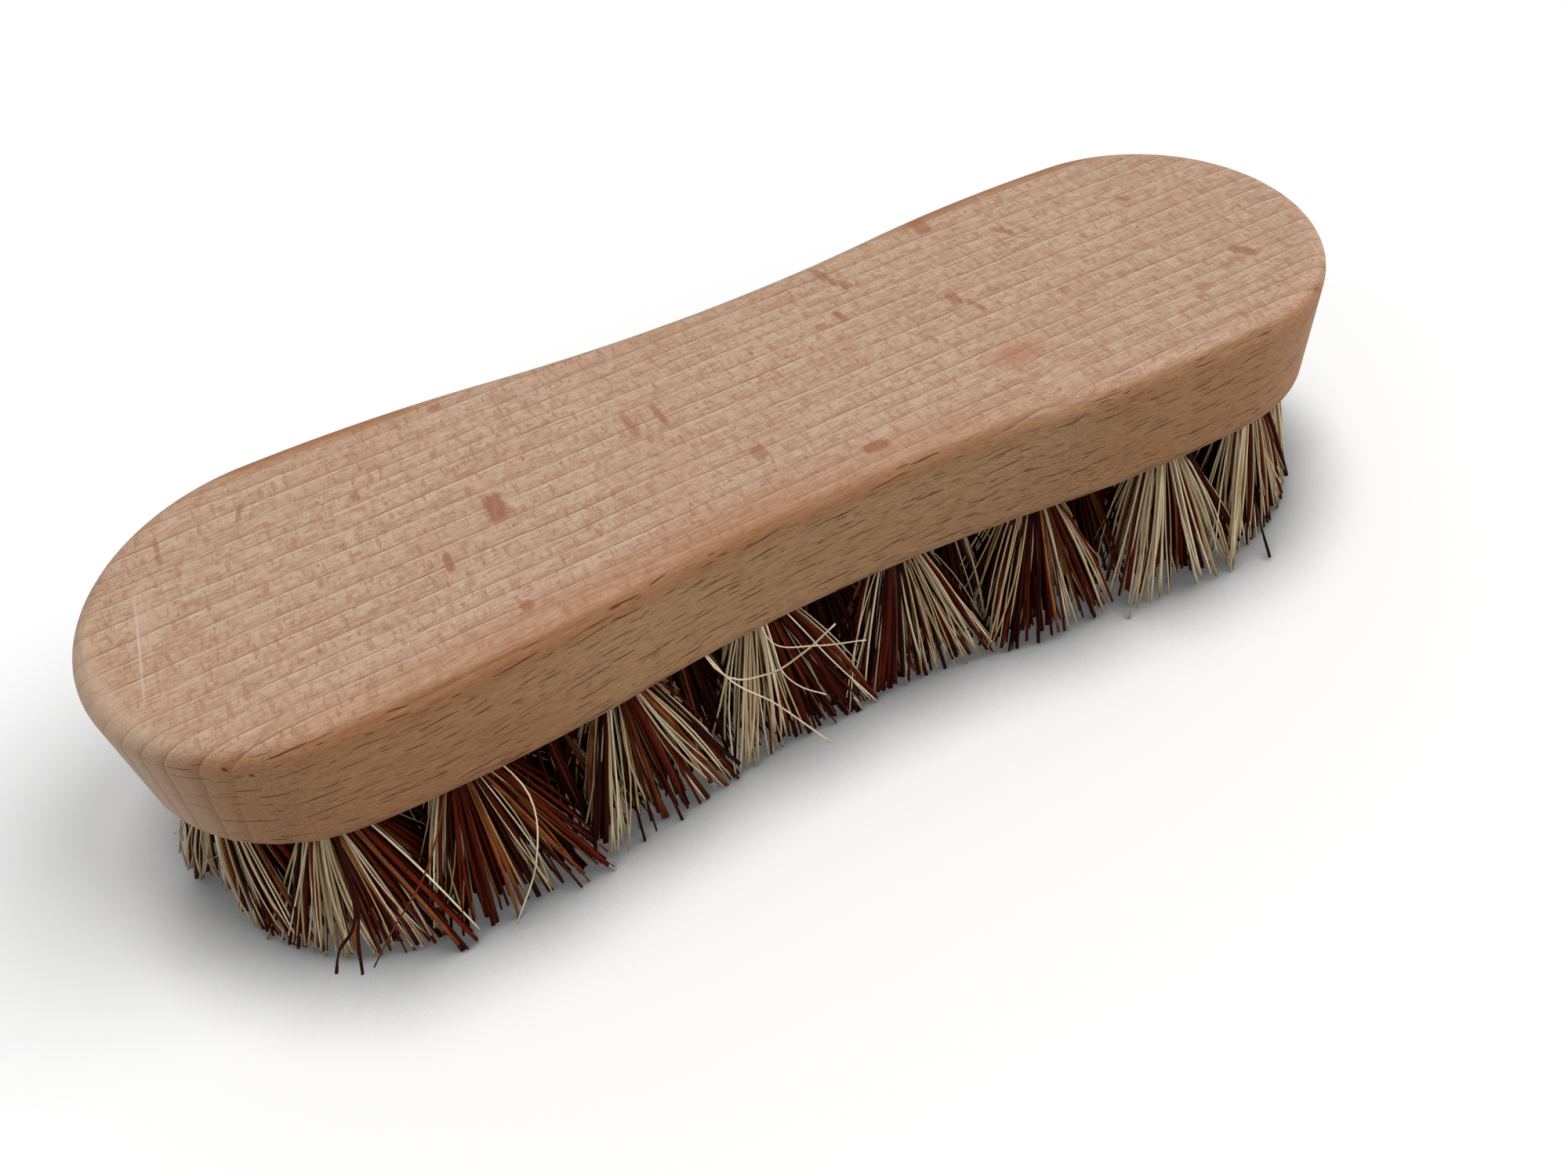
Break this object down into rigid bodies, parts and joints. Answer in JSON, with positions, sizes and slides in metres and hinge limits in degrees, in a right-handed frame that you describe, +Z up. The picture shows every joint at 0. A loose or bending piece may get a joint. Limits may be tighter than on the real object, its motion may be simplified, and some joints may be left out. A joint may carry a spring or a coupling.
{
  "type": "scrub brush",
  "caption": "Hand scrub brush with a flat waisted beech block and stiff mixed plant-fibre tufts set in drilled blind holes.",
  "frame": {"origin": "centre of the trimmed fibre face, on the plane that the brush stands on", "axes": "+X along the block's length, +Z up through the flat back of the block"},
  "size_m": [0.2, 0.0623, 0.0476],
  "materials": {
    "beech": "fine sanded, unvarnished",
    "plant_fibre": "stiff dry plant fibre, light and dark mixed",
    "staple_wire": "drawn wire"
  },
  "bodies": {
    "root": {"block": "beech", "anchor_staples": "staple_wire", "outer_tuft_01": "plant_fibre", "outer_tuft_02": "plant_fibre", "outer_tuft_03": "plant_fibre", "outer_tuft_04": "plant_fibre", "outer_tuft_05": "plant_fibre", "outer_tuft_06": "plant_fibre", "outer_tuft_07": "plant_fibre", "outer_tuft_08": "plant_fibre", "outer_tuft_09": "plant_fibre", "outer_tuft_10": "plant_fibre", "outer_tuft_11": "plant_fibre", "outer_tuft_12": "plant_fibre", "outer_tuft_13": "plant_fibre", "outer_tuft_14": "plant_fibre", "outer_tuft_15": "plant_fibre", "outer_tuft_16": "plant_fibre", "outer_tuft_17": "plant_fibre", "outer_tuft_18": "plant_fibre", "outer_tuft_19": "plant_fibre", "outer_tuft_20": "plant_fibre", "middle_tuft_01": "plant_fibre", "middle_tuft_02": "plant_fibre", "middle_tuft_03": "plant_fibre", "middle_tuft_04": "plant_fibre", "middle_tuft_05": "plant_fibre", "middle_tuft_06": "plant_fibre", "middle_tuft_07": "plant_fibre", "middle_tuft_08": "plant_fibre", "middle_tuft_09": "plant_fibre", "middle_tuft_10": "plant_fibre", "middle_tuft_11": "plant_fibre", "middle_tuft_12": "plant_fibre", "middle_tuft_13": "plant_fibre", "middle_tuft_14": "plant_fibre", "centre_tuft_01": "plant_fibre", "centre_tuft_02": "plant_fibre", "centre_tuft_03": "plant_fibre", "centre_tuft_04": "plant_fibre", "centre_tuft_05": "plant_fibre", "centre_tuft_06": "plant_fibre", "centre_tuft_07": "plant_fibre", "centre_tuft_08": "plant_fibre"}
  },
  "joints": []
}
